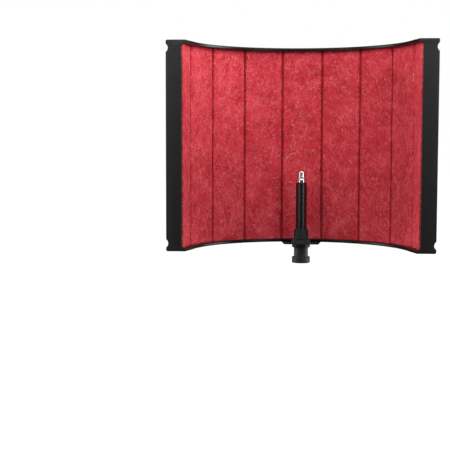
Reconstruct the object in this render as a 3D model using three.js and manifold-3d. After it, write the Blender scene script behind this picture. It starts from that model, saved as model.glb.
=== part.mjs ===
// Microphone isolation shield: a half-round acoustic screen on a threaded post.
//
// Millimetres, +Z up. The origin is on the post's axis, at the underside of the stand adapter,
// where the shield screws onto a microphone stand. The screen stands behind the post, in +Y,
// and opens towards -Y. Every moving piece turns about the Z axis.

import * as THREE from 'three';
import { mergeVertices } from 'three/addons/utils/BufferGeometryUtils.js';
import Module from 'manifold-3d';

const wasm = await Module();
wasm.setup();

// ---------------------------------------------------------------- driving dimensions

const WIDTH = 416; // across the outer edges of the two end plates
const HEIGHT = 326.5; // rail top to rail bottom
const RAIL_UNDERSIDE = 32.4; // how high the screen's lower edge is above the stand adapter's foot
const POST_TO_CENTRE = 145.5; // the curve's centre is this far in front of the post

const GAP = 0.3; // clearance between pieces that touch
const OUTER_R = WIDTH / 2;
const LIP_R = 171.5; // inner edge of both rails
const INNER_FELT = { front: 182, back: 190 };
const FOIL = { front: 190.4, back: 190.9 };
const RIB = { front: 191.2, back: 198, width: 8 };
const OUTER_FELT = { front: 198.5, back: 205.5 };

const SEAM_STEP = 21; // degrees between two pressed grooves in the felt
const SEAM_ANGLES = [-3.5, -2.5, -1.5, -0.5, 0.5, 1.5, 2.5, 3.5].map((n) => n * SEAM_STEP);
const SEAM_HALF_ANGLE = 0.45;
const SEAM_DEPTH = 2.6;
const ARC_STEP = 5; // degrees per facet round the screen

const HALF = HEIGHT / 2;
const MID_Z = RAIL_UNDERSIDE + HALF; // height of the screen's middle
const WEB = 3; // thickness of the rails' flat top or bottom
const LIP = { thick: 10.2, high: 5, endR: 177, easedFrom: 24 }; // beside a plate it draws back to endR
const OUTER_WALL = { thick: 2.2, high: 24 };
const SCALLOP = { radius: 7.5, depth: 3.3, fromEdge: 12.5, wall: 2 };
const CORNER_R = 2.7;

const PLATE = { thick: 3, innerX: 183.5, fillet: 4.7, tongueHigh: 6 };
const PLATE_BOSS = { x: [191.3, 198], back: 22, high: 14 };

// Heights above the stand adapter's foot, from the bottom up.
const Z = {
  flangeTop: 10.2,
  socketTop: 15.5,
  studFoot: 17,
  neckTop: 25.2,
  nutTop: 32.1,
  armBottom: 32.4,
  armTop: 38.4,
  washerTop: 39.8,
  collarSeat: 50.8,
  collarTop: 56,
  studTop: 71,
  tubeTop: 134,
  spigotCollarBottom: 138.9,
  spigotCollarTop: 140.2,
  spigotTip: 153.1,
};
const STUD_R = 6;
const THREAD_R = 7.94; // the 5/8 inch thread of microphone stands, at both ends of the post
const ADAPTER = { flangeR: 15.1, neckR: 11.8 };
const NUT = { acrossFlats: 26, chamfer: 1.3 };
const COLLAR = { r: 12.05, seatR: 9.4 };
const TUBE = { r: 9.1, boreR: 6.3 };
const SPIGOT = { collarR: 11.1, shankR: 8.8, plugR: 6, plugDepth: 13 };
const BUSH = { r: 7.6, boreR: STUD_R + GAP };
const ARM = { half: 15.3, front: -23, back: 24.8, neckFront: 20.5, cornerR: 2.6 };
const SLOT = { half: BUSH.r + GAP, forward: 8, backward: 4 }; // how far the bush can travel each way
const FOOT = { top: 33, bottom: 29, thick: 4.2, front: 23.5, back: 59.5 };
const FOOT_SCREW = { x: 22, y: [184, 197.5] }; // from the curve's centre

const SCREW = { headR: 3.4, headHigh: 2, shankR: 1.7 };
const RAIL_SCREW_LONG = 13;
const FOOT_SCREW_LONG = 7.4;

// ---------------------------------------------------------------- materials

const finish = (color, roughness, metalness) =>
  new THREE.MeshStandardMaterial({ color, roughness, metalness });
const material = {
  redFelt: finish(0xc23a45, 1, 0),
  blackFelt: finish(0x1c1c1e, 1, 0),
  frame: finish(0x2e2e2f, 0.45, 0),
  foil: finish(0xc8c9cb, 0.35, 1),
  rib: finish(0x3a3a3c, 0.6, 0),
  blackMetal: finish(0x1b1b1d, 0.25, 0.6),
  bracket: finish(0x2b2b2d, 0.5, 0.2),
  nylon: finish(0xd8d4c8, 0.5, 0),
  steel: finish(0xd9d9dc, 0.2, 1),
  screw: finish(0x202022, 0.35, 0.8),
};

// ---------------------------------------------------------------- solids

const radians = THREE.MathUtils.degToRad;

// A closed geometry as a solid, with its faces pointing out.
function solidOf(geometry) {
  const bare = new THREE.BufferGeometry();
  bare.setAttribute('position', geometry.getAttribute('position').clone());
  if (geometry.index) bare.setIndex(geometry.index.clone());
  const merged = mergeVertices(bare, 1e-4);
  const triVerts = new Uint32Array(merged.index.array);
  const vertProperties = merged.attributes.position.array;
  const made = new wasm.Manifold(new wasm.Mesh({ numProp: 3, vertProperties, triVerts }));
  if (made.volume() > 0) return made;
  return new wasm.Manifold(
    new wasm.Mesh({ numProp: 3, vertProperties, triVerts: triVerts.reverse() }),
  );
}

function geometryOf(solid) {
  const mesh = solid.getMesh();
  const geometry = new THREE.BufferGeometry();
  geometry.setAttribute('position', new THREE.BufferAttribute(mesh.vertProperties, 3));
  geometry.setIndex(new THREE.BufferAttribute(mesh.triVerts, 1));
  geometry.computeVertexNormals();
  return geometry;
}

// A closed outline of [x, y] points, pushed up from z0 to z1.
function prism(outline, z0, z1) {
  const shape = new THREE.Shape(outline.map(([x, y]) => new THREE.Vector2(x, y)));
  const geometry = new THREE.ExtrudeGeometry(shape, { depth: z1 - z0, bevelEnabled: false });
  return solidOf(geometry.translate(0, 0, z0));
}

function box(x0, x1, y0, y1, z0, z1) {
  const geometry = new THREE.BoxGeometry(x1 - x0, y1 - y0, z1 - z0);
  return solidOf(geometry.translate((x0 + x1) / 2, (y0 + y1) / 2, (z0 + z1) / 2));
}

// A profile of [radius, z] points turned about the Z axis. It ends on the axis, or closes on itself.
function turned(profile, segments = 36) {
  const points = profile.map(([r, z]) => new THREE.Vector2(r, z));
  const onAxis = profile[0][0] === 0 && profile[profile.length - 1][0] === 0;
  if (!onAxis) points.push(points[0].clone());
  return solidOf(new THREE.LatheGeometry(points, segments).rotateX(Math.PI / 2));
}

const moved = (solid, x, y, z) => solid.translate([x, y, z]);
const turnedOver = (solid) => solid.rotate([0, 180, 0]);

// Points on a circle about (cx, cy), from one angle to another in degrees, both ends included.
function arc(cx, cy, r, from, to, steps) {
  return Array.from({ length: steps + 1 }, (_, i) => {
    const a = radians(from + ((to - from) * i) / steps);
    return [cx + r * Math.cos(a), cy + r * Math.sin(a)];
  });
}

// ---------------------------------------------------------------- the screen

// Plan position on the screen, about the curve's centre. Angle 0 is its far middle, +90 its right end.
const onScreen = (r, angle) => [r * Math.sin(radians(angle)), r * Math.cos(radians(angle))];

// The screen is modelled about its own centre, then set behind the post.
const inPlace = (solid) => moved(solid, 0, -POST_TO_CENTRE, MID_Z);

// One edge of a curved panel seen from above, from -90 to +90 degrees.
// The grooves reach grooveR, where it is given.
function panelEdge(r, grooveR) {
  const points = [];
  const stations = [];
  for (let a = -90; a <= 90; a += ARC_STEP) stations.push(a);
  if (stations.at(-1) < 90) stations.push(90);
  const grooved = grooveR === undefined ? [] : SEAM_ANGLES;
  const clear = (a) => grooved.every((s) => Math.abs(a - s) > 2 * SEAM_HALF_ANGLE);
  for (const a of stations) if (clear(a)) points.push([a, r]);
  for (const s of grooved) {
    points.push([s - SEAM_HALF_ANGLE, r], [s, grooveR], [s + SEAM_HALF_ANGLE, r]);
  }
  points.sort((p, q) => p[0] - q[0]);
  return points.map(([a, radius]) => onScreen(radius, a));
}

function panel(front, back, halfHeight, frontGroove, backGroove) {
  const outline = [...panelEdge(front, frontGroove), ...panelEdge(back, backGroove).reverse()];
  return inPlace(prism(outline, -halfHeight, halfHeight));
}

// Outer side of a rail's section, and of the end plates, from the outer wall's foot up to its top corner.
function outerSide(footZ) {
  const reach = OUTER_R + SCALLOP.radius - SCALLOP.depth;
  const middle = HALF - SCALLOP.fromEdge;
  const half = THREE.MathUtils.radToDeg(Math.acos((reach - OUTER_R) / SCALLOP.radius));
  return [
    [OUTER_R, footZ],
    ...arc(reach, middle, SCALLOP.radius, 180 + half, 180 - half, 5),
    ...arc(OUTER_R - CORNER_R, HALF - CORNER_R, CORNER_R, 0, 90, 3),
  ];
}

// Section of the top rail as [radius, z]: a thick lip that the inner felt stands against, a flat web,
// and an outer wall with a finger groove.
function railSection() {
  const wallR = OUTER_R - OUTER_WALL.thick;
  const reach = OUTER_R + SCALLOP.radius - SCALLOP.depth;
  const bulge = SCALLOP.radius + SCALLOP.wall;
  const middle = HALF - SCALLOP.fromEdge;
  const half = THREE.MathUtils.radToDeg(Math.acos((reach - wallR) / bulge));
  const lipBack = LIP_R + LIP.thick;
  const foot = HALF - OUTER_WALL.high;
  const round = 0.8;
  return [
    ...outerSide(foot),
    [LIP_R + round, HALF],
    [LIP_R, HALF - round],
    [LIP_R, HALF - LIP.high + round],
    [LIP_R + round, HALF - LIP.high],
    [lipBack, HALF - LIP.high],
    [lipBack, HALF - WEB],
    [wallR, HALF - WEB],
    ...arc(reach, middle, bulge, 180 - half, 180 + half, 4),
    [wallR, foot],
  ];
}

// Plan positions of the screws that hold the bracket's foot to the bottom rail.
const bracketScrewPlaces = [-FOOT_SCREW.x, FOOT_SCREW.x].flatMap((x) => FOOT_SCREW.y.map((y) => [x, y]));
const SCREW_ANGLES = [-73.5, -31.5, 31.5, 73.5];
const SCREW_R = (RIB.front + RIB.back) / 2;
const PLATE_SCREW = [(PLATE_BOSS.x[0] + PLATE_BOSS.x[1]) / 2, 11];

// A countersunk screw, its flat head at z = 0 and pointing down. Grown by extra, it is its own hole.
function screwShape(long, extra = 0) {
  const { headR, headHigh, shankR } = SCREW;
  return turned(
    [
      [0, extra],
      [headR + extra, extra],
      [headR + extra, -0.4],
      [shankR + extra, -headHigh - extra / 2],
      [shankR + extra, -long - extra],
      [0, -long - extra],
    ],
    12,
  );
}
const railScrew = screwShape(RAIL_SCREW_LONG);
const railScrewHole = screwShape(RAIL_SCREW_LONG, GAP);
const footScrew = turnedOver(screwShape(FOOT_SCREW_LONG));
const footScrewHole = turnedOver(screwShape(FOOT_SCREW_LONG, GAP));

// Plan positions where a rail takes a screw: four ribs and the two end plates' bosses.
const railScrewPlaces = [
  ...SCREW_ANGLES.map((angle) => onScreen(SCREW_R, angle)),
  [-PLATE_SCREW[0], PLATE_SCREW[1]],
  [PLATE_SCREW[0], PLATE_SCREW[1]],
];

function topRail() {
  const ring = turned(railSection(), 360 / ARC_STEP);
  const behind = box(-OUTER_R - 1, OUTER_R + 1, 0, OUTER_R + 1, 0, HALF + 1);
  const lipX = Math.sqrt(LIP_R ** 2 - LIP.easedFrom ** 2);
  const drawnBack = prism(
    [
      [lipX - 4, -1],
      [LIP.endR, -1],
      [LIP.endR, 0],
      [lipX, LIP.easedFrom],
      [lipX - 4, LIP.easedFrom],
    ],
    0,
    HALF + 1,
  );
  return railScrewPlaces.reduce(
    (rail, [x, y]) => rail.subtract(moved(railScrewHole, x, y, HALF)),
    ring.intersect(behind).subtract(drawnBack).subtract(drawnBack.mirror([1, 0, 0])),
  );
}

function bottomRail() {
  return bracketScrewPlaces.reduce(
    (rail, [x, y]) => rail.subtract(moved(footScrewHole, x, y, -HALF - GAP - FOOT.thick)),
    turnedOver(topRail()),
  );
}

// A spacer rib that keeps the air gap between the foil and the rear felt, drilled where it takes screws.
function spacerRib(angle) {
  const half = HALF - WEB - GAP;
  const blank = box(-RIB.width / 2, RIB.width / 2, RIB.front, RIB.back, -half, half);
  const turnedTo = blank.rotate([0, 0, -angle]);
  if (!SCREW_ANGLES.includes(angle)) return inPlace(turnedTo);
  const [x, y] = onScreen(SCREW_R, angle);
  const upper = moved(railScrewHole, x, y, HALF);
  const lower = moved(turnedOver(railScrewHole), x, y, -HALF);
  return inPlace(turnedTo.subtract(upper).subtract(lower));
}

// The right-hand end plate: it closes both rails and has a boss in each that takes a screw.
function endPlate() {
  const upper = [
    ...outerSide(0),
    [LIP.endR + GAP, HALF],
    [LIP.endR + GAP, HALF - PLATE.tongueHigh],
    ...arc(PLATE.innerX - PLATE.fillet, HALF - PLATE.tongueHigh - PLATE.fillet, PLATE.fillet, 90, 0, 4),
  ];
  const lower = upper.slice(1).map(([x, z]) => [x, -z]).reverse();
  const face = prism([...upper, ...lower], GAP, GAP + PLATE.thick).rotate([90, 0, 0]);
  const top = HALF - WEB - GAP;
  const [x0, x1] = PLATE_BOSS.x;
  const boss = box(x0, x1, -GAP - 1, PLATE_BOSS.back, top - PLATE_BOSS.high, top);
  const [sx, sy] = PLATE_SCREW;
  const drilled = boss.subtract(moved(railScrewHole, sx, sy, HALF));
  return inPlace(face.add(drilled).add(drilled.mirror([0, 0, 1])));
}

// ---------------------------------------------------------------- the bracket and the post

// A foot under the bottom rail, and in front of it a slotted arm that the post goes through.
function mountBracket() {
  const footTop = RAIL_UNDERSIDE - GAP;
  const footBottom = footTop - FOOT.thick;
  const trapezoid = [
    [-FOOT.bottom, footBottom],
    [FOOT.bottom, footBottom],
    [FOOT.top, footTop],
    [-FOOT.top, footTop],
  ];
  const foot = prism(trapezoid, -FOOT.back, -FOOT.front).rotate([90, 0, 0]);
  const { half, front, back, neckFront, cornerR } = ARM;
  const outline = [
    [half, back],
    [-half, back],
    ...arc(-half + cornerR, front + cornerR, cornerR, 180, 270, 3),
    ...arc(half - cornerR, front + cornerR, cornerR, 270, 360, 3),
  ];
  const arm = prism(outline, Z.armBottom, Z.armTop);
  const neck = box(-half, half, neckFront, back, footBottom, Z.armBottom + 1);
  const slot = prism(
    [
      ...arc(0, SLOT.backward, SLOT.half, 0, 180, 12),
      ...arc(0, -SLOT.forward, SLOT.half, 180, 360, 12),
    ],
    Z.armBottom - 1,
    Z.armTop + 1,
  );
  return bracketScrewPlaces.reduce(
    (bracket, [x, y]) => bracket.subtract(moved(footScrewHole, x, y - POST_TO_CENTRE, footBottom)),
    foot.add(neck).add(arm).subtract(slot),
  );
}

function sleeve(innerR, outerR, z0, z1, chamfer = 0.4) {
  return turned([
    [innerR, z0],
    [outerR - chamfer, z0],
    [outerR, z0 + chamfer],
    [outerR, z1 - chamfer],
    [outerR - chamfer, z1],
    [innerR, z1],
  ]);
}

// A flanged sleeve with a blind threaded socket below and the stud's hole above.
function standAdapter() {
  const { flangeR, neckR } = ADAPTER;
  const mouth = 1;
  return turned([
    [THREAD_R + mouth, 0],
    [flangeR - 0.8, 0],
    [flangeR, 0.8],
    [flangeR, Z.flangeTop - 0.6],
    [flangeR - 0.6, Z.flangeTop],
    [neckR, Z.flangeTop],
    [neckR, Z.neckTop - 0.5],
    [neckR - 0.5, Z.neckTop],
    [STUD_R + GAP, Z.neckTop],
    [STUD_R + GAP, Z.socketTop],
    [THREAD_R, Z.socketTop],
    [THREAD_R, mouth],
  ]);
}

function mountStud() {
  return turned([
    [0, Z.studFoot],
    [STUD_R - 0.8, Z.studFoot],
    [STUD_R, Z.studFoot + 0.8],
    [STUD_R, Z.studTop - 0.8],
    [STUD_R - 0.8, Z.studTop],
    [0, Z.studTop],
  ]);
}

// A hexagon with its upper and lower corners turned off, one flat facing forward.
function hexLockNut() {
  const z0 = Z.neckTop + GAP;
  const z1 = Z.nutTop;
  const flatR = NUT.acrossFlats / 2;
  const cornerR = flatR / Math.cos(Math.PI / 6);
  const hexagon = prism(arc(0, 0, cornerR, 0, 300, 5), z0, z1);
  const chamfered = turned([
    [STUD_R + GAP, z0],
    [flatR, z0],
    [cornerR + 0.2, z0 + NUT.chamfer],
    [cornerR + 0.2, z1 - NUT.chamfer],
    [flatR, z1],
    [STUD_R + GAP, z1],
  ]);
  return hexagon.intersect(chamfered);
}

// A sleeve that screws down onto the arm, with a seat at the top for the tube's foot.
function clampCollar() {
  const z0 = Z.washerTop + GAP;
  return turned([
    [STUD_R + GAP, z0],
    [COLLAR.r - 0.6, z0],
    [COLLAR.r, z0 + 0.6],
    [COLLAR.r, Z.collarTop - 0.6],
    [COLLAR.r - 0.6, Z.collarTop],
    [COLLAR.seatR, Z.collarTop],
    [COLLAR.seatR, Z.collarSeat],
    [STUD_R + GAP, Z.collarSeat],
  ]);
}

// A plug in the tube's mouth, a wider shank, a thin collar and the microphone's thread.
function threadSpigot() {
  const { collarR, shankR, plugR, plugDepth } = SPIGOT;
  return turned([
    [0, Z.tubeTop - plugDepth],
    [plugR, Z.tubeTop - plugDepth],
    [plugR, Z.tubeTop + GAP],
    [shankR, Z.tubeTop + GAP],
    [shankR, Z.spigotCollarBottom],
    [collarR - 0.3, Z.spigotCollarBottom],
    [collarR, Z.spigotCollarBottom + 0.3],
    [collarR, Z.spigotCollarTop - 0.3],
    [collarR - 0.3, Z.spigotCollarTop],
    [THREAD_R, Z.spigotCollarTop],
    [THREAD_R, Z.spigotTip - 1],
    [THREAD_R - 1, Z.spigotTip],
    [0, Z.spigotTip],
  ]);
}

// ---------------------------------------------------------------- the assembly

const shieldAssembly = new THREE.Group();

function place(name, solid, look) {
  const mesh = new THREE.Mesh(geometryOf(solid), look);
  mesh.name = name;
  shieldAssembly.add(mesh);
}

const feltHalf = HALF - WEB - GAP;
const rearFeltHalf = HALF - SCALLOP.fromEdge - SCALLOP.radius;
const { front, back } = INNER_FELT;
place('inner_felt_panel', panel(front, back, feltHalf, front + SEAM_DEPTH), material.redFelt);
place('foil_membrane', panel(FOIL.front, FOIL.back, feltHalf - 3), material.foil);
place(
  'outer_felt_panel',
  panel(OUTER_FELT.front, OUTER_FELT.back, rearFeltHalf, undefined, OUTER_FELT.back - SEAM_DEPTH),
  material.blackFelt,
);
SEAM_ANGLES.forEach((angle, i) => place(`spacer_rib_${i + 1}`, spacerRib(angle), material.rib));

place('top_rail', inPlace(topRail()), material.frame);
place('bottom_rail', inPlace(bottomRail()), material.frame);
const rightPlate = endPlate();
place('right_end_plate', rightPlate, material.frame);
place('left_end_plate', rightPlate.mirror([1, 0, 0]), material.frame);

railScrewPlaces.forEach(([x, y], i) => {
  const screw = moved(railScrew, x, y, HALF);
  place(`top_rail_screw_${i + 1}`, inPlace(screw), material.screw);
  place(`bottom_rail_screw_${i + 1}`, inPlace(moved(turnedOver(railScrew), x, y, -HALF)), material.screw);
});

place('mount_bracket', mountBracket(), material.bracket);
bracketScrewPlaces.forEach(([x, y], i) => {
  const screw = moved(footScrew, x, y - POST_TO_CENTRE, RAIL_UNDERSIDE - GAP - FOOT.thick);
  place(`bracket_screw_${i + 1}`, screw, material.screw);
});

place('slot_bush', sleeve(BUSH.boreR, BUSH.r, Z.armBottom + 0.2, Z.armTop - 0.2), material.nylon);
place('stand_adapter', standAdapter(), material.blackMetal);
place('mount_stud', mountStud(), material.steel);
place('hex_lock_nut', hexLockNut(), material.blackMetal);
place('collar_washer', sleeve(BUSH.boreR, COLLAR.r, Z.armTop + GAP, Z.washerTop, 0.2), material.blackMetal);
place('clamp_collar', clampCollar(), material.blackMetal);
place('mic_tube', sleeve(TUBE.boreR, TUBE.r, Z.collarSeat + GAP, Z.tubeTop), material.blackMetal);
place('thread_spigot', threadSpigot(), material.steel);

export default shieldAssembly;
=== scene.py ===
"""The looks of the microphone isolation shield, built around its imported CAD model.

Lengths are millimetres until a mesh is made, in the CAD model's own frame. The floor, lamps and camera
are placed in metres. The screen's curve is described by an angle about its own centre: 0 is its far
middle, -90 its left end, +90 its right end.
"""

import math

import bmesh
import bpy
from mathutils import Matrix, Vector, noise


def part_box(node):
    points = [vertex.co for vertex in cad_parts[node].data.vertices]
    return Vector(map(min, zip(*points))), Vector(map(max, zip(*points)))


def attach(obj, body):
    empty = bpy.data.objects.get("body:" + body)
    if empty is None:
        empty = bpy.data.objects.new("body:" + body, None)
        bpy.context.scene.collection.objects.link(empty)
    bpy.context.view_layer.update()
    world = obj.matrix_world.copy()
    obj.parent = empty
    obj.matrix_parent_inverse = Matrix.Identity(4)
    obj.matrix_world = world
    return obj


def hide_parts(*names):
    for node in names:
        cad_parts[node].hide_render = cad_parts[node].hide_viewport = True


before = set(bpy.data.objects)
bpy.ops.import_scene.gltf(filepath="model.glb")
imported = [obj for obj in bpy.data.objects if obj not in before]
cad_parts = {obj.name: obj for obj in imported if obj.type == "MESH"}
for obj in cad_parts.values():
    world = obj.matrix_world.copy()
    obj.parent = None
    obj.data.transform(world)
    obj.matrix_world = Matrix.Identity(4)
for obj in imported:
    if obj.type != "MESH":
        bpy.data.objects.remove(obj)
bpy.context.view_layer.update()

MM = 0.001
SEAM_STEP = 21  # degrees from one pressed groove to the next
SEAMS = [SEAM_STEP * (n - 3.5) for n in range(8)]


def node_box(node):
    """A CAD node's lowest and highest corners in millimetres."""
    low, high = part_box(node)
    return low / MM, high / MM


top_low, top_high = node_box("top_rail")
bottom_low = node_box("bottom_rail")[0]
OUTER_R = top_high.x
CENTRE_Y = top_low.y
TOP_Z = top_high.z
BOTTOM_Z = bottom_low.z
MID_Z = (TOP_Z + BOTTOM_Z) / 2
HALF = (TOP_Z - BOTTOM_Z) / 2
GAP = 0.3  # what touching CAD pieces leave between them


# ------------------------------------------------------------------------------ mesh helpers


SHARP_ANGLE = 35  # degrees between two faces, beyond which their edge is a crease
FINE_SHARP_ANGLE = 32  # the same for the rails and the turned pieces
BEVEL_ANGLE = 40
BEVELLED_SHARP_ANGLE = 50


def shade(mesh, sharp_angle):
    """Smooth faces, with creases at the edges sharper than the angle."""
    mesh.polygons.foreach_set("use_smooth", [True] * len(mesh.polygons))
    mesh.set_sharp_from_angle(angle=math.radians(sharp_angle))
    mesh.update()


def make_object(name, verts, faces, material, sharp_angle=SHARP_ANGLE):
    """A mesh object from points in millimetres, smooth apart from its sharp edges."""
    mesh = bpy.data.meshes.new(name)
    mesh.from_pydata([[c * MM for c in v] for v in verts], [], faces)
    tidy = bmesh.new()
    tidy.from_mesh(mesh)
    bmesh.ops.recalc_face_normals(tidy, faces=tidy.faces)
    tidy.to_mesh(mesh)
    tidy.free()
    mesh.materials.append(material)
    shade(mesh, sharp_angle)
    obj = bpy.data.objects.new(name, mesh)
    bpy.context.scene.collection.objects.link(obj)
    return obj


def apply_modifiers(obj):
    """Replaces the object's mesh by what its modifiers make of it."""
    depsgraph = bpy.context.evaluated_depsgraph_get()
    made = bpy.data.meshes.new_from_object(obj.evaluated_get(depsgraph))
    obj.modifiers.clear()
    obj.data = made


def bevel(obj, width, segments=3):
    """Rounds every edge sharper than BEVEL_ANGLE."""
    modifier = obj.modifiers.new("bevel", "BEVEL")
    modifier.width = width * MM
    modifier.segments = segments
    modifier.limit_method = "ANGLE"
    modifier.angle_limit = math.radians(BEVEL_ANGLE)
    modifier.miter_outer = "MITER_ARC"
    apply_modifiers(obj)
    shade(obj.data, BEVELLED_SHARP_ANGLE)


def combine(obj, operation, others):
    """Cuts the others' shapes out of the object, or joins them to it, and removes them."""
    for other in others:
        modifier = obj.modifiers.new("combine", "BOOLEAN")
        modifier.operation = operation
        modifier.solver = "EXACT"
        modifier.object = other
    apply_modifiers(obj)
    for other in others:
        bpy.data.objects.remove(other)


def arc(cx, cy, r, start, end, steps):
    """Points on a circle from one angle to another, in degrees, both ends included."""
    angles = [math.radians(start + (end - start) * i / steps) for i in range(steps + 1)]
    return [(cx + r * math.cos(a), cy + r * math.sin(a)) for a in angles]


def filleted(points, radius, steps, closed=True):
    """An outline with its corners rounded. A radius is one number, or one for each corner."""
    radii = radius if isinstance(radius, list) else [radius] * len(points)
    result = []
    for i, corner in enumerate(points):
        ends = not closed and i in (0, len(points) - 1)
        if radii[i] <= 0 or ends:
            result.append(tuple(corner))
            continue
        here = Vector(corner)
        before = Vector(points[i - 1]) - here
        after = Vector(points[(i + 1) % len(points)]) - here
        half_angle = before.angle(after) / 2
        reach = min(radii[i] / math.tan(half_angle), 0.49 * before.length, 0.49 * after.length)
        start = here + before.normalized() * reach
        end = here + after.normalized() * reach
        for k in range(steps + 1):
            t = k / steps
            point = start * (1 - t) ** 2 + here * 2 * t * (1 - t) + end * t**2
            result.append((point.x, point.y))
    return result


def lathe(name, rings, material, segments, sharp_angle=SHARP_ANGLE):
    """A turned piece about the Z axis.

    A ring is (radius, z), and either may be a function of the angle. Rings that start and end at
    radius 0 are closed there; any others close on themselves.
    """
    verts = []
    loops = []
    for radius, z in rings:
        if radius == 0:
            loops.append([len(verts)])
            verts.append((0, 0, z))
            continue
        start = len(verts)
        for s in range(segments):
            a = 2 * math.pi * s / segments
            r = radius(a) if callable(radius) else radius
            height = z(a) if callable(z) else z
            verts.append((r * math.cos(a), r * math.sin(a), height))
        loops.append(list(range(start, start + segments)))
    faces = []
    pairs = list(zip(loops, loops[1:]))
    if len(loops[0]) > 1:
        pairs.append((loops[-1], loops[0]))
    for lower, upper in pairs:
        for s in range(segments):
            t = (s + 1) % segments
            if len(lower) == 1:
                faces.append((lower[0], upper[s], upper[t]))
            elif len(upper) == 1:
                faces.append((lower[s], lower[t], upper[0]))
            else:
                faces.append((lower[s], lower[t], upper[t], upper[s]))
    return make_object(name, verts, faces, material, sharp_angle)


def on_screen(r, angle):
    """The plan position at a radius and angle round the screen's curve."""
    a = math.radians(angle)
    return r * math.sin(a), CENTRE_Y + r * math.cos(a)


def swept(name, section, angles, material, radius_at):
    """A closed (radius, z) section swept round the screen's curve, with flat ends.

    radius_at gives the radius that a point of the section has at an angle.
    """
    verts = []
    for angle in angles:
        for r, z in section:
            x, y = on_screen(radius_at(r, angle), angle)
            verts.append((x, y, z))
    n = len(section)
    faces = [tuple(range(n)), tuple(reversed(range(len(verts) - n, len(verts))))]
    for i in range(len(angles) - 1):
        for j in range(n):
            k = (j + 1) % n
            faces.append((i * n + j, i * n + k, (i + 1) * n + k, (i + 1) * n + j))
    return make_object(name, verts, faces, material)


def prism(name, outline, low, high, material, plane="XY"):
    """A flat outline given thickness: in plan (XY), or standing up facing -Y (XZ)."""
    place = {"XY": lambda u, v, w: (u, v, w), "XZ": lambda u, v, w: (u, w, v)}[plane]
    verts = [place(u, v, w) for w in (low, high) for u, v in outline]
    n = len(outline)
    faces = [tuple(range(n)), tuple(range(2 * n - 1, n - 1, -1))]
    faces += [(i, (i + 1) % n, n + (i + 1) % n, n + i) for i in range(n)]
    return make_object(name, verts, faces, material)


# ------------------------------------------------------------------------------ materials


def new_material(name):
    """A material with its node tree, its Principled shader and the object's coordinates."""
    material = bpy.data.materials.new(name)
    material.use_nodes = True
    tree = material.node_tree
    shader = tree.nodes["Principled BSDF"]
    where = tree.nodes.new("ShaderNodeTexCoord").outputs["Object"]
    return material, tree, shader, where


def noise_node(tree, where, scale, detail=4.0, roughness=0.6, distortion=0.0):
    """Fractal noise from 0 to 1, with so many patches to the metre."""
    node = tree.nodes.new("ShaderNodeTexNoise")
    node.inputs["Scale"].default_value = scale
    node.inputs["Detail"].default_value = detail
    node.inputs["Roughness"].default_value = roughness
    node.inputs["Distortion"].default_value = distortion
    tree.links.new(where, node.inputs["Vector"])
    return node.outputs["Fac"]


def math_node(tree, operation, a, b):
    """A Math node's output. Either input may be a socket or a number."""
    node = tree.nodes.new("ShaderNodeMath")
    node.operation = operation
    for socket, value in zip(node.inputs, (a, b)):
        if isinstance(value, bpy.types.NodeSocket):
            tree.links.new(value, socket)
        else:
            socket.default_value = value
    return node.outputs[0]


def vector_node(tree, operation, a, b):
    """A Vector Math node's output. Its second input may be a socket, a vector or, for SCALE, a number."""
    node = tree.nodes.new("ShaderNodeVectorMath")
    node.operation = operation
    tree.links.new(a, node.inputs[0])
    second = node.inputs["Scale"] if operation == "SCALE" else node.inputs[1]
    if isinstance(b, bpy.types.NodeSocket):
        tree.links.new(b, second)
    else:
        second.default_value = b
    return node.outputs["Value" if operation == "DOT_PRODUCT" else "Vector"]


def drawn_out(tree, where, bearing, tilt, grain):
    """Coordinates for noise drawn out along one direction, given in degrees, so many grains to the metre."""
    b = math.radians(bearing)
    t = math.radians(tilt)
    direction = (math.cos(b) * math.cos(t), math.sin(b) * math.cos(t), math.sin(t))
    along = vector_node(tree, "DOT_PRODUCT", where, direction)
    placed = tree.nodes.new("ShaderNodeCombineXYZ")
    for socket, part in zip(placed.inputs, direction):
        tree.links.new(math_node(tree, "MULTIPLY", along, part * FIBRE_DRAW), socket)
    squeezed = vector_node(tree, "SUBTRACT", where, placed.outputs["Vector"])
    return vector_node(tree, "SCALE", squeezed, grain)


def ramp(tree, value, *stops):
    """A colour ramp through (position, colour) stops. A colour is one grey or three numbers."""
    node = tree.nodes.new("ShaderNodeValToRGB")
    elements = node.color_ramp.elements
    while len(elements) < len(stops):
        elements.new(0.5)
    for element, (position, colour) in zip(elements, stops):
        rgb = colour if isinstance(colour, tuple) else (colour,) * 3
        element.position = position
        element.color = (*rgb, 1)
    tree.links.new(value, node.inputs["Fac"])
    return node.outputs["Color"]


def mixed(tree, kind, factor, a, b):
    """Two colours put together by a Mix node. A factor, or a colour, may be a socket or a value."""
    node = tree.nodes.new("ShaderNodeMix")
    node.data_type = "RGBA"
    node.blend_type = kind
    for socket, value in zip((node.inputs[0], node.inputs[6], node.inputs[7]), (factor, a, b)):
        if isinstance(value, bpy.types.NodeSocket):
            tree.links.new(value, socket)
        else:
            socket.default_value = (*value, 1) if isinstance(value, tuple) else value
    return node.outputs[2]


def add_bump(tree, shader, height, distance, strength):
    """Puts a bump on the shader's normal. The distance is in millimetres."""
    node = tree.nodes.new("ShaderNodeBump")
    node.inputs["Distance"].default_value = distance * MM
    node.inputs["Strength"].default_value = strength
    tree.links.new(height, node.inputs["Height"])
    tree.links.new(node.outputs["Normal"], shader.inputs["Normal"])


FIBRE_DRAW = 0.82  # how far the noise is drawn out into fibres, from 0 for not at all to 1 for lines
FIBRE_RELIEF = 0.25  # a fibre layer's share of the felt's bump, beside the mat's 1
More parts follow.
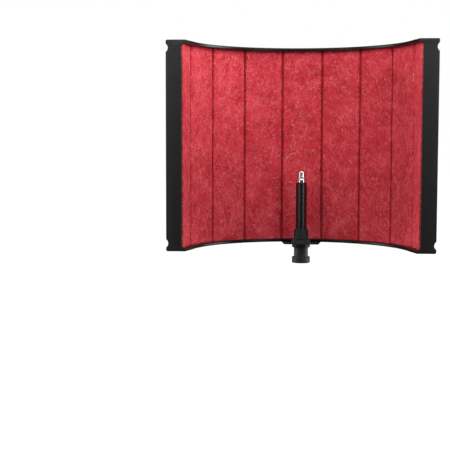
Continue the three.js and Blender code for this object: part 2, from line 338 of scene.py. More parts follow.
# The bearing and tilt in which each layer of loose fibres lies, in degrees, and its fibres to the metre.
FIBRE_LAYERS = [
    (5, 15, 340),
    (-10, -48, 420),
    (15, 70, 380),
    (85, -20, 400),
    (100, 42, 360),
    (50, -5, 700),
]


def felt(name, dark, middle, light, fleck, sheen):
    """Needle-punched felt: a softly mottled mat with loose pale fibres lying every way."""
    material, tree, shader, where = new_material(name)
    mat = noise_node(tree, where, 34, detail=9, roughness=0.74, distortion=0.3)
    colour = ramp(tree, mat, (0.34, dark), (0.5, middle), (0.68, light))
    tufts = ramp(tree, noise_node(tree, where, 62, roughness=0.65), (0.38, 0.3), (0.6, 1.0))
    height = mat
    for bearing, tilt, grain in FIBRE_LAYERS:
        lying = drawn_out(tree, where, bearing, tilt, grain)
        fibres = noise_node(tree, lying, 1, detail=3, distortion=0.8)
        height = math_node(tree, "ADD", height, math_node(tree, "MULTIPLY", fibres, FIBRE_RELIEF))
        lit = mixed(tree, "MULTIPLY", 1.0, ramp(tree, fibres, (0.57, 0.0), (0.7, 0.6)), tufts)
        colour = mixed(tree, "MIX", lit, colour, fleck)
        shaded = ramp(tree, fibres, (0.29, 0.4), (0.41, 0.0))
        colour = mixed(tree, "MIX", shaded, colour, dark)
    tree.links.new(colour, shader.inputs["Base Color"])
    shader.inputs["Roughness"].default_value = 0.95
    shader.inputs["Specular IOR Level"].default_value = 0.12
    shader.inputs["Sheen Weight"].default_value = sheen
    shader.inputs["Sheen Roughness"].default_value = 0.5
    shader.inputs["Sheen Tint"].default_value = (*fleck, 1)
    add_bump(tree, shader, height, distance=0.6, strength=0.5)
    return material


def moulded_plastic(name, colour, roughness, grain, specular=0.5):
    """Moulded plastic with a fine spark-eroded grain and a little uneven shine."""
    material, tree, shader, where = new_material(name)
    darker = tuple(c * 0.82 for c in colour)
    cloud = ramp(tree, noise_node(tree, where, 35), (0.3, darker), (0.7, colour))
    tree.links.new(cloud, shader.inputs["Base Color"])
    rubbed = noise_node(tree, where, 140, detail=5)
    shine = ramp(tree, rubbed, (0.25, roughness * 0.88), (0.75, roughness * 1.1))
    tree.links.new(shine, shader.inputs["Roughness"])
    shader.inputs["Specular IOR Level"].default_value = specular
    sparked = noise_node(tree, where, 2600, detail=3, roughness=0.5)
    add_bump(tree, shader, sparked, distance=grain, strength=0.5)
    return material


def painted_metal(name, colour, roughness, coat=0.0, orange_peel=0.05, specular=0.5):
    """Black finish on turned or pressed metal, with faint orange peel and handling wear."""
    material, tree, shader, where = new_material(name)
    worn = tuple(c * 2.2 for c in colour)
    handled = noise_node(tree, where, 90, detail=6, roughness=0.7)
    wear = ramp(tree, handled, (0.45, colour), (0.85, worn))
    tree.links.new(wear, shader.inputs["Base Color"])
    touched = noise_node(tree, where, 60, roughness=0.65)
    smudge = ramp(tree, touched, (0.3, roughness * 0.8), (0.75, roughness * 1.25))
    tree.links.new(smudge, shader.inputs["Roughness"])
    shader.inputs["Specular IOR Level"].default_value = specular
    shader.inputs["Coat Weight"].default_value = coat
    shader.inputs["Coat Roughness"].default_value = 0.08
    peel = noise_node(tree, where, 900, detail=2, roughness=0.5)
    add_bump(tree, shader, peel, distance=orange_peel, strength=0.4)
    return material


TURNED_GRAIN = (60, 60, 5200)  # patches to the metre along each axis, so that they lie as flat rings


def bare_metal(name, colour, roughness):
    """Bright plated steel, with the fine rings a lathe leaves."""
    material, tree, shader, where = new_material(name)
    shader.inputs["Metallic"].default_value = 1.0
    duller = tuple(c * 0.9 for c in colour)
    tint = ramp(tree, noise_node(tree, where, 120), (0.3, duller), (0.7, colour))
    tree.links.new(tint, shader.inputs["Base Color"])
    smudge = ramp(tree, noise_node(tree, where, 200), (0.3, roughness * 0.7), (0.8, roughness * 1.4))
    tree.links.new(smudge, shader.inputs["Roughness"])
    ringed = vector_node(tree, "MULTIPLY", where, TURNED_GRAIN)
    rings = noise_node(tree, ringed, 1, detail=2, roughness=0.5)
    add_bump(tree, shader, rings, distance=0.004, strength=0.5)
    return material


def foil():
    """Thin rolled foil with soft creases."""
    material, tree, shader, where = new_material("foil_creased")
    shader.inputs["Metallic"].default_value = 1.0
    tint = ramp(tree, noise_node(tree, where, 40, detail=3), (0.3, 0.68), (0.7, 0.8))
    tree.links.new(tint, shader.inputs["Base Color"])
    shader.inputs["Roughness"].default_value = 0.3
    creases = noise_node(tree, where, 55, detail=3, roughness=0.5, distortion=1.5)
    add_bump(tree, shader, creases, distance=0.6, strength=0.6)
    return material


RED_FELT = felt(
    "red_felt",
    dark=(0.56, 0.020, 0.037),
    middle=(0.75, 0.042, 0.066),
    light=(0.92, 0.10, 0.13),
    fleck=(1.0, 0.30, 0.32),
    sheen=0.12,
)
# This darker felt is painted shade, laid along the bottom of each pressed groove of the red panel.
RED_SEAM_SHADE = felt(
    "red_felt_seam_shade",
    dark=(0.30, 0.010, 0.018),
    middle=(0.44, 0.018, 0.028),
    light=(0.56, 0.036, 0.050),
    fleck=(0.7, 0.12, 0.14),
    sheen=0.05,
)
BLACK_FELT = felt(
    "charcoal_felt",
    dark=(0.010, 0.010, 0.011),
    middle=(0.019, 0.019, 0.021),
    light=(0.034, 0.034, 0.036),
    fleck=(0.11, 0.11, 0.115),
    sheen=0.1,
)
# This darker felt is painted shade, laid along the bottom of each pressed groove of the rear panel.
BLACK_SEAM_SHADE = felt(
    "charcoal_felt_seam_shade",
    dark=(0.005, 0.005, 0.006),
    middle=(0.009, 0.009, 0.01),
    light=(0.015, 0.015, 0.016),
    fleck=(0.03, 0.03, 0.03),
    sheen=0.05,
)
PLATE_PLASTIC = moulded_plastic("plate_plastic", (0.0118, 0.0118, 0.012), 0.55, grain=0.08, specular=0.4)
RAIL_PLASTIC = moulded_plastic("rail_plastic", (0.0045, 0.0045, 0.005), 0.34, grain=0.015, specular=0.22)
RIB_PLASTIC = moulded_plastic("rib_plastic", (0.05, 0.05, 0.052), 0.55, grain=0.1)
NYLON = moulded_plastic("natural_nylon", (0.62, 0.58, 0.5), 0.42, grain=0.05)
BRACKET_PAINT = painted_metal(
    "bracket_paint", (0.034, 0.0345, 0.035), 0.85, orange_peel=0.12, specular=0.1
)
POST_PAINT = painted_metal(
    "post_gloss_black", (0.008, 0.008, 0.009), 0.27, orange_peel=0.01, specular=0.55
)
FITTING_PAINT = painted_metal(
    "fitting_satin_black", (0.027, 0.0275, 0.028), 0.5, orange_peel=0.02, specular=0.14
)
NUT_FINISH = painted_metal(
    "blackened_nut", (0.022, 0.0225, 0.023), 0.6, orange_peel=0.04, specular=0.12
)
SCREW_METAL = painted_metal("blackened_screw", (0.014, 0.014, 0.015), 0.32, coat=0.2)
BRIGHT_METAL = bare_metal("bright_nickel", (0.86, 0.86, 0.87), 0.2)
FOIL = foil()


# ------------------------------------------------------------------------------ felt panels

FELT_FRONT = 182  # the red panel's radii
FELT_BACK = 190
REAR_FRONT = 198.5  # the rear panel's radii
REAR_BACK = 205.5
SEAM_DEPTH = 3.4
SEAM_MOUTH = 2.7  # half the width of the pressed groove
SEAM_WANDER = 0.25  # how far its edge strays
SEAM_SHADE = 2.0  # half the width of the painted shade, a darker felt, laid along the groove's bottom
ROLL_IN = 0.95  # how far the felt beside a groove is drawn in
ROLL_WIDTH = 5.5
CROWN = 0.7  # how far the middle of a strip stands out
GRIP = 11  # the felt swells to its full crown over about this far from a rail
CLUMP_SIZE = 4.2
CLUMP_HEIGHT = 0.16
SWELL_SIZE = 38
SWELL_HEIGHT = 0.3
GRIPPED_RELIEF = 0.35  # the share of the clumps and swells that is left at a rail
FELT_SHARP_ANGLE = 60
STRIP_COLUMNS = 26
FELT_ROWS = 150
# Degrees from a groove's middle at which the mesh has a column, on both sides.
SEAM_COLUMNS = (0.06, 0.18, 0.32, 0.46, 0.58, 0.72, 0.95, 1.3)


def seam_columns():
    """Angles across a panel, closer together at its seams."""
    columns = [-90.0]
    fine = [*(-f for f in reversed(SEAM_COLUMNS)), *SEAM_COLUMNS]
    edges = [-90.0, *SEAMS, 90.0]
    for left, right in zip(edges, edges[1:]):
        start = left + (fine[-1] if left > -90 else 0)
        end = right + (fine[0] if right < 90 else 0)
        columns += [start + (end - start) * i / STRIP_COLUMNS for i in range(1, STRIP_COLUMNS)]
        columns.append(end)
        if right < 90:
            columns += [right + f for f in fine[1:]]
    return columns


def felt_relief(angle, z, radius, low_z, high_z, seed):
    """How far the felt's face is pressed in at a place: seams, crown, clumps, and the grip of the rails."""
    nearest = min(abs(angle - s) for s in SEAMS)
    beside = math.radians(nearest) * radius
    wander = noise.noise(Vector((angle * 0.4, z * 0.11, seed))) * SEAM_WANDER
    press = max(0.0, 1 - beside / (SEAM_MOUTH + wander))
    pressed = SEAM_DEPTH * press**0.9 + ROLL_IN * math.exp(-((beside / ROLL_WIDTH) ** 2))
    edge = min(z - low_z, high_z - z)
    free = 1 - math.exp(-((max(edge, 0) / GRIP) ** 2))
    half_strip = math.radians(SEAM_STEP / 2) * radius
    crown = CROWN * (1 - (1 - min(beside / half_strip, 1)) ** 2) * free
    place = Vector((angle * math.radians(radius), z, seed))
    clumps = CLUMP_HEIGHT * noise.fractal(place / CLUMP_SIZE, 1.0, 2.0, 4)
    swells = SWELL_HEIGHT * noise.noise(place / SWELL_SIZE)
    relief = (clumps + swells) * (GRIPPED_RELIEF + (1 - GRIPPED_RELIEF) * free)
    return pressed - crown + relief


def felt_panel(name, node, face_r, back_r, material, seam_shade_material, seed):
    """A closed curved pad as high as its CAD node: a worked face with pressed seams lined with painted
    shade, and a plain back.
    """
    low, high = node_box(node)
    low_z = low.z
    high_z = high.z
    columns = seam_columns()
    rows = [low_z + (high_z - low_z) * j / FELT_ROWS for j in range(FELT_ROWS + 1)]
    inward = 1 if back_r > face_r else -1
    verts = []
    for angle in columns:
        for z in rows:
            relief = felt_relief(angle, z, face_r, low_z, high_z, seed)
            x, y = on_screen(face_r + inward * relief, angle)
            verts.append((x, y, z))
    n = len(rows)
    back = len(verts)
    for angle in columns:
        for z in (low_z, high_z):
            x, y = on_screen(back_r, angle)
            verts.append((x, y, z))
    faces = []
    for i in range(len(columns) - 1):
        for j in range(n - 1):
            faces.append((i * n + j, (i + 1) * n + j, (i + 1) * n + j + 1, i * n + j + 1))
        b = back + 2 * i
        faces.append((b, b + 1, b + 3, b + 2))
        faces.append((i * n, b, b + 2, (i + 1) * n))
        faces.append((i * n + n - 1, (i + 1) * n + n - 1, b + 3, b + 1))
    last = (len(columns) - 1) * n
    faces.append((*range(n), back + 1, back))
    faces.append((*range(last + n - 1, last - 1, -1), len(verts) - 2, len(verts) - 1))
    panel = make_object(name, verts, faces, material, FELT_SHARP_ANGLE)
    panel.data.materials.append(seam_shade_material)
    # The faces near a groove's middle take the second material: painted shade along the seam.
    middles = [(left + right) / 2 for left, right in zip(columns, columns[1:])]
    groove_shade = [min(abs(math.radians(a - s)) for s in SEAMS) * face_r < SEAM_SHADE for a in middles]
    for i, dark in enumerate(groove_shade):
        if dark:
            for polygon in panel.data.polygons[i * (n + 2) : i * (n + 2) + n - 1]:
                polygon.material_index = 1
    return panel


inner_felt = felt_panel(
    "inner_felt", "inner_felt_panel", FELT_FRONT, FELT_BACK, RED_FELT, RED_SEAM_SHADE, seed=3.7
)
rear_felt = felt_panel(
    "rear_felt", "outer_felt_panel", REAR_BACK, REAR_FRONT, BLACK_FELT, BLACK_SEAM_SHADE, seed=9.1
)
for pad, node, slot in (
    (inner_felt, "inner_felt_panel", "red_felt"),
    (rear_felt, "outer_felt_panel", "charcoal_felt"),
):
    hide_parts(node)
    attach(pad, "shield")


# ------------------------------------------------------------------------------ frame

LIP_R = 171.5  # the lip is the rail's inner edge, in front of the red felt
LIP_THICK = 10.2
LIP_HIGH = 5
LIP_END_R = 177  # the lips draw back to here beside the end plates
LIP_EASED = 8  # over this many degrees
WEB = 3  # the rail's flat top, from the lip to the outer wall
WALL = 2.2
WALL_HIGH = 24
SCALLOP_R = 7.5  # a groove of this radius runs round the outer wall
SCALLOP_DEPTH = 3.3
SCALLOP_EDGE = 12.5  # how far the groove's middle is below the rail's top
SCALLOP_EASED = 0.5  # how far the groove's two edges are eased
BULGE_R = SCALLOP_R + 2  # the groove's back, inside the wall
WALL_FOOT_EASED = 0.5  # the bevels along the wall's foot, inside and outside
WALL_FOOT_ROUNDED = 0.7
CORNER_R = 2.7
RAIL_STEP = 1.25  # degrees
SCREW_HOLE_HEAD_R = 3.7
SCREW_HOLE_R = 2.0
SCREW_HOLE_RIM = 0.4  # depths of the hole's rim, of its cone's foot and of its end
SCREW_HOLE_CONE = 2.3
SCREW_HOLE_DEEP = 5
SCREW_HOLE_OVER = 0.5  # how far its cutter stands out of the face


def outer_side(foot):
    """The outer side that the rails and the end plates share, from its foot up, as heights about 0."""
    reach = OUTER_R + SCALLOP_R - SCALLOP_DEPTH
    half = math.degrees(math.acos((reach - OUTER_R) / SCALLOP_R))
    scallop = arc(reach, HALF - SCALLOP_EDGE, SCALLOP_R, 180 + half, 180 - half, 14)
    first = (scallop[0][0], scallop[0][1] - SCALLOP_EASED)
    last = (scallop[-1][0], scallop[-1][1] + SCALLOP_EASED)
    corner = arc(OUTER_R - CORNER_R, HALF - CORNER_R, CORNER_R, 0, 90, 8)
    return [(OUTER_R, foot), first, *scallop[1:-1], last, *corner]


def rail_section():
    """The top rail's section as (radius, height about the middle)."""
    wall_r = OUTER_R - WALL
    reach = OUTER_R + SCALLOP_R - SCALLOP_DEPTH
    half = math.degrees(math.acos((reach - wall_r) / BULGE_R))
    foot = HALF - WALL_HIGH
    lip_foot = HALF - LIP_HIGH
    lip = filleted(
        [
            (LIP_R + 6, HALF),
            (LIP_R, HALF),
            (LIP_R, lip_foot),
            (LIP_R + LIP_THICK, lip_foot),
            (LIP_R + LIP_THICK, HALF - WEB),
        ],
        [0, 1.5, 1.0, 0.6, 0],
        6,
        closed=False,
    )
    bulge = arc(reach, HALF - SCALLOP_EDGE, BULGE_R, 180 - half, 180 + half, 10)
    return [
        *outer_side(foot + WALL_FOOT_ROUNDED),
        *lip,
        (wall_r, HALF - WEB),
        *bulge,
        (wall_r, foot + WALL_FOOT_EASED),
        (wall_r + WALL_FOOT_EASED, foot),
        (OUTER_R - WALL_FOOT_ROUNDED, foot),
    ]


def cone_cutter(x, y, z, up):
    """The hole for a countersunk screw in a face at height z. Up is 1 where its head faces up."""
    profile = [
        (0, SCREW_HOLE_OVER),
        (SCREW_HOLE_HEAD_R, SCREW_HOLE_OVER),
        (SCREW_HOLE_HEAD_R, -SCREW_HOLE_RIM),
        (SCREW_HOLE_R, -SCREW_HOLE_CONE),
        (SCREW_HOLE_R, -SCREW_HOLE_DEEP),
        (0, -SCREW_HOLE_DEEP),
    ]
    cutter = lathe("cutter", [(r, h * up) for r, h in profile], RAIL_PLASTIC, 24)
    cutter.data.transform(Matrix.Translation(Vector((x, y, z)) * MM))
    return cutter


def centre_of(node):
    """The middle of a CAD node's box."""
    low, high = node_box(node)
    return (low + high) / 2


def drawn_back(r, angle):
    """Where a point of the rail's section goes as the lip narrows towards an end plate."""
    ending = max(0, abs(angle) - (90 - LIP_EASED)) / LIP_EASED
    behind = min(1, (r - LIP_R) / LIP_THICK)
    return r + (LIP_END_R - LIP_R) * ending * (1 - behind)


def make_rail(name, side):
    """One rail with its screws' holes. Side is 1 for the top rail, and -1 turns its section over."""
    section = [(r, MID_Z + side * z) for r, z in rail_section()]
    steps = round(180 / RAIL_STEP)
    angles = [-90 + RAIL_STEP * i for i in range(steps + 1)]
    rail = swept(name + "_channel", section, angles, RAIL_PLASTIC, drawn_back)
    cutters = []
    for i in range(1, 7):
        place = centre_of(f"{name}_screw_{i}")
        cutters.append(cone_cutter(place.x, place.y, MID_Z + side * HALF, side))
    combine(rail, "DIFFERENCE", cutters)
    shade(rail.data, FINE_SHARP_ANGLE)
    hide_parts(name)
    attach(rail, "shield")


make_rail("top_rail", 1)
make_rail("bottom_rail", -1)

PLATE_THICK = 3.0
PLATE_INNER = 183.5  # how far the plate's inner edge is from the middle
PLATE_FILLET = 4.7  # in the corner between the tongue and that edge
TONGUE_HIGH = 6  # the tongue reaches inwards over the end of each rail's lip
PLATE_BEVEL = 0.75
BOSS_X = (191.3, 198)
BOSS_LONG = 14
BOSS_SUNK = 0.2  # how far a boss reaches into the plate
BOSS_BEVEL = 0.6


def plate_outline():
    """The right end plate's outline as (x, height about the middle)."""
    inner_top = HALF - TONGUE_HIGH - PLATE_FILLET
    upper = [
        *outer_side(0)[1:],
        (LIP_END_R + GAP, HALF),
        (LIP_END_R + GAP, HALF - TONGUE_HIGH),
        *arc(PLATE_INNER - PLATE_FILLET, inner_top, PLATE_FILLET, 90, 0, 8),
    ]
    lower = [(x, -z) for x, z in reversed(upper)]
    return upper + lower


def make_plate(node, side):
    """An end plate with softened edges, and the two bosses that its screws go into."""
    low, high = node_box(node)
    inside = low.y + PLATE_THICK
    outline = [(side * x, MID_Z + z) for x, z in plate_outline()]
    plate = prism(node + "_cover", outline, low.y, inside, PLATE_PLASTIC, "XZ")
    bevel(plate, PLATE_BEVEL)
    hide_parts(node)
    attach(plate, "shield")
    for which, up in (("upper", 1), ("lower", -1)):
        outer = MID_Z + up * (HALF - WEB - GAP)
        inner = outer - up * BOSS_LONG
        x0, x1 = sorted(side * x for x in BOSS_X)
        corners = [(x0, outer), (x1, outer), (x1, inner), (x0, inner)]
        boss_name = f"{node}_{which}_boss"
        boss = prism(boss_name, corners, inside - BOSS_SUNK, high.y, PLATE_PLASTIC, "XZ")
        bevel(boss, BOSS_BEVEL, 2)
        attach(boss, "shield")


make_plate("right_end_plate", 1)
make_plate("left_end_plate", -1)


# ------------------------------------------------------------------------------ bracket


FOOT_HALF = 29  # half the length of the foot's lower face
FOOT_FRONT = 23.5
NECK_FRONT = 20.5
ARM_HALF = 15.3
ARM_BACK = 24.8
ARM_CORNER_R = 2.6
SLOT_HALF = 7.9
SLOT_BEHIND = 4  # the slot's two ends are centred this far behind and in front of the post
SLOT_AHEAD = 8
BRACKET_BEVEL = 0.5


def make_bracket():
    """The foot under the rail, the neck, and the slotted arm that the post goes through."""
    low, high = node_box("mount_bracket")
    foot_top = BOTTOM_Z - GAP
    foot_outline = [(-FOOT_HALF, low.z), (FOOT_HALF, low.z), (high.x, foot_top), (-high.x, foot_top)]
    foot = prism("mount_bracket_casting", foot_outline, FOOT_FRONT, high.y, BRACKET_PAINT, "XZ")
    arm_outline = filleted(
        [(-ARM_HALF, ARM_BACK), (-ARM_HALF, low.y), (ARM_HALF, low.y), (ARM_HALF, ARM_BACK)],
        [0, ARM_CORNER_R, ARM_CORNER_R, 0],
        6,
    )
    arm = prism("arm", arm_outline, BOTTOM_Z, high.z, BRACKET_PAINT)
    neck_outline = [
        (-ARM_HALF, NECK_FRONT),
        (ARM_HALF, NECK_FRONT),
        (ARM_HALF, ARM_BACK),
        (-ARM_HALF, ARM_BACK),
    ]
    neck = prism("neck", neck_outline, low.z, BOTTOM_Z + 1, BRACKET_PAINT)
    combine(foot, "UNION", [arm, neck])
    slot = [*arc(0, SLOT_BEHIND, SLOT_HALF, 0, 180, 24), *arc(0, -SLOT_AHEAD, SLOT_HALF, 180, 360, 24)]
    cutters = [prism("slot", slot, low.z - 2, high.z + 2, BRACKET_PAINT)]
    for i in range(1, 5):
        place = centre_of(f"bracket_screw_{i}")
        cutters.append(cone_cutter(place.x, place.y, low.z, -1))
    combine(foot, "DIFFERENCE", cutters)
    bevel(foot, BRACKET_BEVEL)
    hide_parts("mount_bracket")
    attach(foot, "shield")


make_bracket()


# ------------------------------------------------------------------------------ screws


SCREW_PITCH = 1.2
SCREW_MINOR_R = 1.3
SCREW_RIDGE = 0.38
SCREW_THREAD_FROM = 2.4  # below the head's top
SCREW_UNTHREADED = 3.2  # how much longer the screw is than its thread
RINGS_PER_SCREW_TURN = 6
RAIL_SCREW_LONG = 13
BRACKET_SCREW_LONG = 7.4


def cross_recess(a):
    """Radius of a cross-shaped recess at an angle, for a head 6.8 mm across."""
    lobe = abs(math.cos(2 * a)) ** 5
    return 0.55 + 1.25 * lobe


def recess_bottom(a):
    """Radius of the recess's bottom at an angle."""
    return 0.35 * cross_recess(a)


def recess_rim(a):
    """Radius of the recess's eased rim at an angle."""
    return cross_recess(a) + 0.08


def screw_thread(depth):
    """A ring of the thread at a depth below the head's top."""

    def radius(a):
        phase = (depth / SCREW_PITCH + a / (2 * math.pi)) % 1
        return SCREW_MINOR_R + SCREW_RIDGE * (1 - abs(2 * phase - 1))

    return radius, -depth


def make_screw(node, up, length):
    """A countersunk screw with a cross recess and a threaded shank. Up is 1 where its head faces up."""
    low, high = node_box(node)
    head_z = high.z if up > 0 else low.z
    centre = centre_of(node)
    head = [(3.2, 0), (3.35, -0.08), (3.4, -0.3), (1.65, -2.0)]
    rings = [(0, -1.1), (recess_bottom, -1.1), (cross_recess, -0.05), (recess_rim, 0), *head]
    threaded = length - SCREW_UNTHREADED
    steps = round(threaded / SCREW_PITCH * RINGS_PER_SCREW_TURN)
    rings += [screw_thread(SCREW_THREAD_FROM + threaded * i / steps) for i in range(steps + 1)]
    rings += [(1.0, -length + 0.4), (0, -length)]
    screw = lathe(node + "_turned", [(r, z * up) for r, z in rings], SCREW_METAL, 32, BEVEL_ANGLE)
    screw.data.transform(Matrix.Translation(Vector((centre.x, centre.y, head_z)) * MM))
    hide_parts(node)
    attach(screw, "shield")


for i in range(1, 7):
    make_screw(f"top_rail_screw_{i}", 1, RAIL_SCREW_LONG)
    make_screw(f"bottom_rail_screw_{i}", -1, RAIL_SCREW_LONG)
for i in range(1, 5):
    make_screw(f"bracket_screw_{i}", -1, BRACKET_SCREW_LONG)


# ------------------------------------------------------------------------------ post

BORE_R = 6.3  # through every piece that the stud passes
THREAD_R = 7.94  # the 5/8 inch stand thread
SPIGOT_PITCH = 0.9407  # 27 turns to the inch
SOCKET_PITCH = 0.94
STUD_PITCH = 1.5
RINGS_PER_TURN = 8
CREST = 3  # a ridge is at its full height after a third of its flank, which leaves its crest flat
FADED = 0.35  # the share of a ridge's height that is left where its thread starts and ends
FLANGE_TOP = 10.2
NECK_R = 11.8
SOCKET_TOP = 15.5
NUT_CONE = 0.32  # how steeply the cone on each face of the nut falls
NUT_FACE_INSET = 0.35
NUT_EASED = 0.12  # the height of the eased edge under the cone
SEAT_R = 9.4
SEAT_Z = 50.8
SHANK_R = 8.8
PLUG_R = 6
SPIGOT_COLLAR_LOW = 138.9
SPIGOT_COLLAR_HIGH = 140.2


def thread_rings(minor, major, pitch, start, end):
    """Rings of a helical thread between two heights, faded out at both ends."""
    count = round(abs(end - start) / pitch * RINGS_PER_TURN)
    rings = []
    for i in range(count + 1):
        z = start + (end - start) * i / count

        def radius(a, z=z):
            phase = (z / pitch - a / (2 * math.pi)) % 1
            ridge = min(1, (1 - abs(2 * phase - 1)) * CREST)
            fade = min(1, abs(z - start) / pitch, abs(end - z) / pitch)
            return minor + (major - minor) * ridge * (FADED + (1 - FADED) * fade)

        rings.append((radius, z))
    return rings


def post_piece(name, node, rings, material, body, segments=96):
    """A turned piece that takes the place of a CAD node on the post."""
    piece = lathe(name, rings, material, segments, FINE_SHARP_ANGLE)
    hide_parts(node)
    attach(piece, body)


def make_adapter():
    """A flanged sleeve with a threaded socket in its foot."""
    high = node_box("stand_adapter")[1]
    outside = filleted(
        [
            (THREAD_R + 1, 0),
            (high.x, 0),
            (high.x, FLANGE_TOP),
            (NECK_R, FLANGE_TOP),
            (NECK_R, high.z),
            (BORE_R, high.z),
        ],
        [0, 1.1, 0.9, 0.8, 0.7, 0.3],
        5,
        closed=False,
    )
    socket = thread_rings(THREAD_R + 0.05, THREAD_R - 0.7, SOCKET_PITCH, SOCKET_TOP - 0.9, 1.2)
    rings = [*outside, (BORE_R, SOCKET_TOP), (THREAD_R, SOCKET_TOP), *socket, (THREAD_R, 0.9)]
    post_piece("stand_adapter_turned", "stand_adapter", rings, FITTING_PAINT, "stand_post")


def make_stud():
    """The threaded rod inside the post."""
    low, high = node_box("mount_stud")
    r = high.x
    thread = thread_rings(r - 0.75, r, STUD_PITCH, low.z + 0.8, high.z - 0.8)
    rings = [(0, low.z), (r - 0.9, low.z), *thread, (r - 0.9, high.z), (0, high.z)]
    post_piece("mount_stud_threaded", "mount_stud", rings, BRIGHT_METAL, "stand_post", 64)


def make_nut():
    """A hexagon nut: both faces turned to a cone, so that each flat ends in a curve."""
    low, high = node_box("hex_lock_nut")
    flat_r = high.y
    face_r = flat_r - NUT_FACE_INSET

    def flats(a):
        sector = a % (math.pi / 3) - math.pi / 6
        return flat_r / math.cos(sector)

    def drop(a):
        return (flats(a) - face_r) * NUT_CONE

    rings = [(BORE_R + 0.8, low.z), (face_r, low.z)]
    rings += [(flats, lambda a, t=t: low.z + drop(a) + t) for t in (0, NUT_EASED)]
    rings += [(flats, lambda a, t=t: high.z - drop(a) - t) for t in (NUT_EASED, 0)]
    rings += [(face_r, high.z), (BORE_R + 0.8, high.z), (BORE_R, high.z - 0.8), (BORE_R, low.z + 0.8)]
    post_piece("hex_lock_nut_faced", "hex_lock_nut", rings, NUT_FINISH, "lock_nut", 144)


def make_collar():
    """The clamp collar, hollowed at its top into a seat for the tube."""
    low, high = node_box("clamp_collar")
    r = high.x
    outside = filleted(
        [(BORE_R, low.z), (r, low.z), (r, high.z), (SEAT_R, high.z), (SEAT_R, SEAT_Z)],
        [0, 0.8, 0.9, 0.3, 0],
        5,
        closed=False,
    )
    rings = [*outside, (BORE_R, SEAT_Z)]
    post_piece("clamp_collar_turned", "clamp_collar", rings, FITTING_PAINT, "collar")


def make_sleeve(name, node, radius, steps, material, body, segments=96):
    """A plain ring or tube round the stud, with rounded edges."""
    low, high = node_box(node)
    profile = [(BORE_R, low.z), (high.x, low.z), (high.x, high.z), (BORE_R, high.z)]
    post_piece(name, node, filleted(profile, radius, steps), material, body, segments)


def make_spigot():
    """The bright end: a plug in the tube, a shank, a thin collar and the microphone's thread."""
    low, high = node_box("thread_spigot")
    shoulder = node_box("mic_tube")[1].z + GAP
    lower = filleted(
        [
            (0, low.z),
            (PLUG_R, low.z),
            (PLUG_R, shoulder),
            (SHANK_R, shoulder),
            (SHANK_R, SPIGOT_COLLAR_LOW),
            (high.x - 0.2, SPIGOT_COLLAR_LOW),
            (high.x, SPIGOT_COLLAR_LOW + 0.25),
            (high.x - 1.1, SPIGOT_COLLAR_HIGH),
            (THREAD_R, SPIGOT_COLLAR_HIGH),
            (THREAD_R - 0.55, SPIGOT_COLLAR_HIGH + 0.5),
        ],
        [0, 0.6, 0.1, 0.6, 0.3, 0.15, 0.15, 0.2, 0.15, 0],
        5,
        closed=False,
    )
    thread_start = SPIGOT_COLLAR_HIGH + 0.9
    thread = thread_rings(THREAD_R - 0.3, THREAD_R, SPIGOT_PITCH, thread_start, high.z - 0.9)
    rings = [*lower, *thread, (THREAD_R - 0.9, high.z - 0.45), (THREAD_R - 1.4, high.z), (0, high.z)]
    post_piece("thread_spigot_turned", "thread_spigot", rings, BRIGHT_METAL, "mic_mast")


make_adapter()
make_stud()
make_nut()
make_collar()
make_sleeve(
    "mic_tube_drawn", "mic_tube", [0.3, 0.5, 0.7, 0.4], 5, POST_PAINT, "mic_mast"
)
make_spigot()
make_sleeve(
    "collar_washer_pressed", "collar_washer", 0.25, 4, FITTING_PAINT, "collar"
)
make_sleeve("slot_bush_moulded", "slot_bush", 0.35, 4, NYLON, "slot_slider", 72)


# ------------------------------------------------------------------------------ CAD nodes that stay

kept = {"foil_membrane": FOIL, **{f"spacer_rib_{i}": RIB_PLASTIC for i in range(1, 9)}}
for node, material in kept.items():
    mesh_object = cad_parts[node]
    if not mesh_object.material_slots:
        mesh_object.data.materials.append(material)
    for material_slot in mesh_object.material_slots:
        material_slot.material = material


# ------------------------------------------------------------------------------ stage, light and camera

FLOOR_Z = -0.9
FLOOR_HALF = 30
FILL = 0.06  # how bright the studio is away from its lamps


def make_floor():
    """A white floor far below, which the camera sees and the object doesn't."""
    material, tree, shader, where = new_material("pale_floor")
    pale = ramp(tree, noise_node(tree, where, 3, 2), (0.3, 0.86), (0.7, 0.88))
    tree.links.new(pale, shader.inputs["Base Color"])
    shader.inputs["Roughness"].default_value = 0.9
    shader.inputs["Emission Color"].default_value = (1, 1, 1, 1)
    shader.inputs["Emission Strength"].default_value = 1.0
    half = FLOOR_HALF / MM
    z = FLOOR_Z / MM
    verts = [(-half, -half, z), (half, -half, z), (half, half, z), (-half, half, z)]
    floor = make_object("floor", verts, [(0, 1, 2, 3)], material)
    floor.visible_diffuse = False
    floor.visible_glossy = False


def make_world():
    """A white backdrop, and a dimmer studio for what it lights."""
    world = bpy.data.worlds.new("studio")
    world.use_nodes = True
    tree = world.node_tree
    backdrop = tree.nodes["Background"]
    backdrop.inputs["Color"].default_value = (1, 1, 1, 1)
    backdrop.inputs["Strength"].default_value = 1.0
    fill = tree.nodes.new("ShaderNodeBackground")
    fill.inputs["Color"].default_value = (1, 1, 1, 1)
    fill.inputs["Strength"].default_value = FILL
    seen = tree.nodes.new("ShaderNodeLightPath")
    mix = tree.nodes.new("ShaderNodeMixShader")
    tree.links.new(seen.outputs["Is Camera Ray"], mix.inputs["Fac"])
    tree.links.new(fill.outputs["Background"], mix.inputs[1])
    tree.links.new(backdrop.outputs["Background"], mix.inputs[2])
    tree.links.new(mix.outputs["Shader"], tree.nodes["World Output"].inputs["Surface"])
    bpy.context.scene.world = world


MIDDLE = Vector((0, 0, MID_Z * MM))
LAMP_AWAY = 2.0  # from the middle
SQUARE = (1.2, 1.2)
STRIP = (0.35, 1.4)
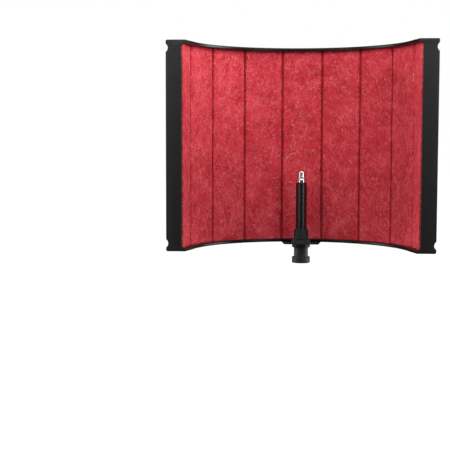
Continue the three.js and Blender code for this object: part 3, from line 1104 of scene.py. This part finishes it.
# The square lamps at the sides light the wings across the opening, the right ones more strongly. The
# strips light the post from both sides of the camera. Each lamp has its azimuth, from straight in front
# towards the right, its elevation, its width and height, and how bright its face is.
SOFTBOXES = {
    "left_side": (-90, 0, SQUARE, 8),
    "right_side": (105, 0, SQUARE, 13),
    "right_high": (90, 35, SQUARE, 4),
    "left_strip": (-45, 5, STRIP, 3),
    "right_strip": (45, 5, STRIP, 4),
    "top": (0, 90, SQUARE, 3),
}

NEAR_LAMP_PLACE = (0, -0.45, 0.57)  # close over the opening, to light the felt under the top rail's lip
NEAR_LAMP_TARGET = (0, 0.05, 0.25)
NEAR_LAMP_SIZE = (0.9, 0.3)
NEAR_LAMP_BRIGHTNESS = 2.6


def softbox(name, place, target, width, height, brightness):
    """A rectangular lamp that faces its target. Its power follows from its area and brightness."""
    light = bpy.data.lights.new(name, "AREA")
    light.shape = "RECTANGLE"
    light.size = width
    light.size_y = height
    light.energy = math.pi * width * height * brightness
    lamp = bpy.data.objects.new(name, light)
    lamp.location = place
    lamp.rotation_euler = (Vector(target) - Vector(place)).to_track_quat("-Z", "Y").to_euler()
    bpy.context.scene.collection.objects.link(lamp)


def make_lamps():
    """The softboxes round the object, and the near one over the opening."""
    for name, (azimuth, elevation, size, brightness) in SOFTBOXES.items():
        a = math.radians(azimuth)
        e = math.radians(elevation)
        away = Vector((math.sin(a) * math.cos(e), -math.cos(a) * math.cos(e), math.sin(e)))
        softbox(name, MIDDLE + LAMP_AWAY * away, MIDDLE, *size, brightness)
    softbox(
        "over_the_camera", NEAR_LAMP_PLACE, NEAR_LAMP_TARGET, *NEAR_LAMP_SIZE, NEAR_LAMP_BRIGHTNESS
    )


CAMERA_YAW = 4.7  # degrees to the left of straight ahead
CAMERA_PITCH = 4.7  # degrees downwards
CAMERA_ROLL = 0.1
CAMERA_LENS = 86  # on a sensor 36 mm wide
CAMERA_RIGHT = 0.02
CAMERA_AWAY = 1.656  # from the centre of the screen's curve
CAMERA_UP = 0.015  # over the screen's middle


def make_camera():
    """The photographer's place: a little right of the middle, level with the screen, looking down."""
    yaw = math.radians(CAMERA_YAW)
    pitch = math.radians(CAMERA_PITCH)
    roll = math.radians(CAMERA_ROLL)
    ahead = Vector((-math.sin(yaw) * math.cos(pitch), math.cos(yaw) * math.cos(pitch), -math.sin(pitch)))
    level = Vector((math.cos(yaw), math.sin(yaw), 0))
    down = ahead.cross(level)
    right = level * math.cos(roll) - down * math.sin(roll)
    down = level * math.sin(roll) + down * math.cos(roll)
    lens = bpy.data.cameras.new("camera")
    lens.sensor_width = 36
    lens.lens = CAMERA_LENS
    lens.clip_end = 200
    camera = bpy.data.objects.new("camera", lens)
    turn = Matrix((right, -down, -ahead)).transposed()
    place = Vector((CAMERA_RIGHT, CENTRE_Y * MM - CAMERA_AWAY, MID_Z * MM + CAMERA_UP))
    camera.matrix_world = Matrix.Translation(place) @ turn.to_4x4()
    bpy.context.scene.collection.objects.link(camera)
    bpy.context.scene.camera = camera


make_floor()
make_world()
make_lamps()
make_camera()
bpy.context.scene.view_settings.view_transform = "Standard"
